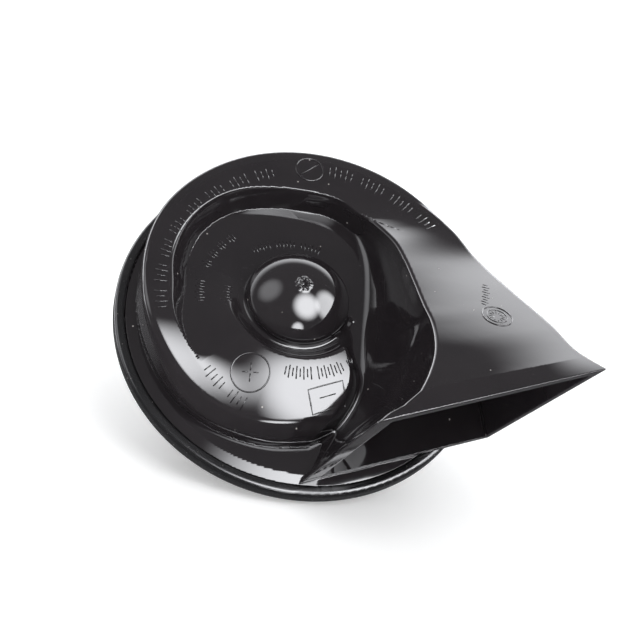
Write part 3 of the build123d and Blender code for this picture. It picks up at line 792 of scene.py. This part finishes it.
def raised_marks():
    """Plain rings, dashes and a date dial where such a horn carries its moulded data. None is lettering."""
    marks = Marks()
    axis, dome, crossed = np.zeros(2), np.array(DOME), np.array([-11.9, -18.5])
    marks.ticks(axis, 31.6, 193, 108, 39, 2.6, FINE_LINE)
    marks.ring((-1.7, 32.6), 3.0, BOLD_LINE)
    marks.line([(-3.6, 30.9), (-1.7, 32.6), (0.2, 34.3)], FINE_LINE)
    # Rows of dashes: centre, arc radius, from and to in degrees, count, height, line radius, group
    rows = [
        (axis, 33.0, 85, 40, 22, 3.0, FINE_LINE, 6),
        (dome, 20.5, 162, 133, 15, 2.2, 0.12, 4),
        (dome, 20.5, 189, 172, 9, 2.0, 0.12, 9),
        (dome, 15.6, 128, 72, 20, 1.9, 0.11, 7),
        (dome, 14.6, 190, 174, 6, 1.8, 0.11, 9),
        (dome, 18.2, -97, -47, 22, 2.6, 0.14, 9),
        (axis, 27.6, 222, 243, 10, 2.6, FINE_LINE, 6),
    ]
    for row in rows:
        marks.ticks(*row)
    marks.ring(crossed, 3.9, BOLD_LINE, 48)
    marks.ticks(crossed, 1.1, 0, 270, 4, 1.6, FINE_LINE, 9)
    corners = [np.array(c) for c in ((0.0, -20.8), (7.0, -17.8), (8.3, -22.2), (1.5, -25.3))]
    sides = zip(corners, corners[1:] + corners[:1])
    marks.line([a + (b - a) * t for a, b in sides for t in (0.0, 0.33, 0.67)], 0.16, True)
    middle = sum(corners) / 4
    marks.line([middle + d for d in ((-1.6, -0.5), (0.0, 0.2), (1.6, 0.9))], FINE_LINE)
    dial = np.array([35.2, -7.0])
    marks.ring(dial, 3.1, BOLD_LINE)
    marks.ring(dial, 2.1, 0.12)
    marks.ticks(dial, 1.3, 0, 330, 12, 1.0, 0.1, UNGROUPED)
    marks.ticks(np.array([10.0, 6.0]), 25.0, -5, -22, 9, 1.6, 0.11, UNGROUPED)
    piece = marks.mesh("raised_marks")
    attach(piece, "horn")
    dress(piece, "black_abs")


# ---------------------------------------------------------------- stage


def floor():
    """A pale table that the horn leans on, seen only from its upper side."""
    normal = Vector((0, 0.654, 0.756)).normalized()
    half_size = 3.0
    side = Vector((1, 0, 0))
    up = normal.cross(side)
    touch = Vector((0, -RIM_R, -3.1)) * MM
    quarters = ((-1, -1), (1, -1), (1, 1), (-1, 1))
    corners = [touch + a * half_size * side + b * half_size * up for a, b in quarters]
    mesh = bpy.data.meshes.new("floor")
    mesh.from_pydata([tuple(c) for c in corners], [], [(0, 1, 2, 3)])
    mesh.materials.append(table_white())
    new_piece("floor", mesh)


def table_white():
    """White with a little glow, clear from behind, and dim to glossy rays."""
    n = Nodes("table_white")
    n.put(Base_Color=(0.88, 0.885, 0.89, 1), Roughness=0.6)
    glow = n.add("ShaderNodeEmission", Color=(1, 1, 1, 1), Strength=0.35)
    clear = n.add("ShaderNodeBsdfTransparent")
    facing = n.add("ShaderNodeNewGeometry").outputs["Backfacing"]
    both = n.add("ShaderNodeAddShader")
    n.tree.links.new(n.shader.outputs[0], both.inputs[0])
    n.tree.links.new(glow.outputs[0], both.inputs[1])
    top = n.choose(facing, both, clear)
    # Seen in the gloss of the horn, the table is far darker than it looks to the eye
    dim = n.add("ShaderNodeEmission", Color=(0.96, 0.97, 1.0, 1), Strength=0.16)
    rays = n.add("ShaderNodeLightPath").outputs["Is Glossy Ray"]
    seen = n.choose(rays, top, dim)
    n.tree.links.new(seen.outputs[0], n.tree.nodes["Material Output"].inputs["Surface"])
    return n.material


def soft_light(name, direction, distance, width, height, power):
    """An area light that faces the horn, and isn't seen in its gloss."""
    data = bpy.data.lights.new(name, "AREA")
    data.shape = "RECTANGLE"
    data.size, data.size_y = width * MM, height * MM
    data.energy = power
    lamp = new_piece(name, data)
    target = Vector((0, 0, 10)) * MM
    lamp.location = target + Vector(direction).normalized() * distance * MM
    lamp.rotation_mode = "QUATERNION"
    lamp.rotation_quaternion = (target - lamp.location).to_track_quat("-Z", "Y")
    lamp.visible_glossy = False


# The studio as the horn's gloss sees it: (direction, full half-angle, faded half-angle, strength)
SOFTBOXES = [
    ((0.28, -0.14, 0.94), 9, 27, 18.0),
    ((0.78, 0.10, 0.60), 12, 26, 13.0),
    ((0.10, -0.74, 0.66), 4, 12, 16.0),
    ((-0.69, 0.34, 0.64), 6, 24, 2.6),
]
# Bright lines round the horizon, which every rounded edge picks up: (height, faded, full, strength)
HORIZON = [(-0.20, 0.10, 0.04, 8.0), (-0.03, 0.26, 0.02, 3.6)]
ROOM_LEVEL = 0.25
DIFFUSE_LEVEL = 0.75


def sky():
    """White to the camera; to the horn a dim room with soft, round-edged light panels."""
    world = bpy.data.worlds.new("studio")
    bpy.context.scene.world = world
    world.use_nodes = True
    tree = world.node_tree
    tree.nodes.clear()

    def add(kind, **values):
        node = tree.nodes.new(kind)
        for key, value in values.items():
            if isinstance(value, bpy.types.NodeSocket):
                tree.links.new(value, node.inputs[key])
            elif key in node.inputs:
                node.inputs[key].default_value = value
            else:
                setattr(node, key, value)
        return node

    def math_node(operation, first, second=None):
        node = add("ShaderNodeMath", operation=operation)
        for socket, value in zip(node.inputs, (first, second)):
            if isinstance(value, bpy.types.NodeSocket):
                tree.links.new(value, socket)
            elif value is not None:
                socket.default_value = value
        return node.outputs[0]

    def faded_in(value, start, full, strength):
        node = add("ShaderNodeMapRange", interpolation_type="SMOOTHSTEP", Value=value)
        for key, number in (("From Min", start), ("From Max", full), ("To Max", strength)):
            node.inputs[key].default_value = number
        return node.outputs["Result"]

    place = add("ShaderNodeTexCoord").outputs["Generated"]
    level = add("ShaderNodeValue").outputs[0]
    level.default_value = ROOM_LEVEL
    for direction, full, faded, strength in SOFTBOXES:
        along = add("ShaderNodeVectorMath", operation="DOT_PRODUCT")
        tree.links.new(place, along.inputs[0])
        along.inputs[1].default_value = Vector(direction).normalized()
        start, end = math.cos(math.radians(faded)), math.cos(math.radians(full))
        level = math_node("ADD", level, faded_in(along.outputs["Value"], start, end, strength))
    split = add("ShaderNodeSeparateXYZ")
    tree.links.new(place, split.inputs[0])
    for middle, faded, full, strength in HORIZON:
        height = math_node("ABSOLUTE", math_node("SUBTRACT", split.outputs["Z"], middle))
        level = math_node("ADD", level, faded_in(height, faded, full, strength))
    room = add("ShaderNodeBackground", Color=(0.96, 0.97, 1.0, 1), Strength=level)
    even = add("ShaderNodeBackground", Color=(1, 1, 1, 1), Strength=DIFFUSE_LEVEL)
    white = add("ShaderNodeBackground", Color=(1, 1, 1, 1), Strength=1.0)
    rays = add("ShaderNodeLightPath").outputs
    shown = even.outputs[0]
    for chosen, source in (("Is Glossy Ray", room), ("Is Camera Ray", white)):
        mix = add("ShaderNodeMixShader")
        for socket, link in zip(mix.inputs, (rays[chosen], shown, source.outputs[0])):
            tree.links.new(link, socket)
        shown = mix.outputs[0]
    out = add("ShaderNodeOutputWorld")
    tree.links.new(shown, out.inputs["Surface"])


def camera():
    """Looks down on the front from the -Y side, a little rolled."""
    place = Vector((-49.27, -158.74, 261.7)) * MM
    target = Vector((3.99, 1.80, 0.0)) * MM
    roll = 0.03
    ahead = (target - place).normalized()
    right = ahead.cross(Vector((0, 1, 0))).normalized()
    up = right.cross(ahead)
    turned_right = math.cos(roll) * right + math.sin(roll) * up
    turned_up = math.cos(roll) * up - math.sin(roll) * right
    data = bpy.data.cameras.new("camera")
    data.sensor_width = 36.0
    data.lens = 81.58
    data.clip_start = 0.01
    data.clip_end = 20
    holder = new_piece("camera", data)
    columns = (turned_right, turned_up, -ahead, place)
    holder.matrix_world = Matrix([[c[i] for c in columns] for i in range(3)] + [[0, 0, 0, 1]])
    bpy.context.scene.camera = holder


trumpet()
raised_marks()
diaphragm()
dress_cad_nodes()
floor()
sky()
camera()
soft_light("overhead", direction=(0.13, 0.1, 0.98), distance=900, width=700, height=500, power=3.0)
bpy.context.scene.view_settings.view_transform = "Standard"
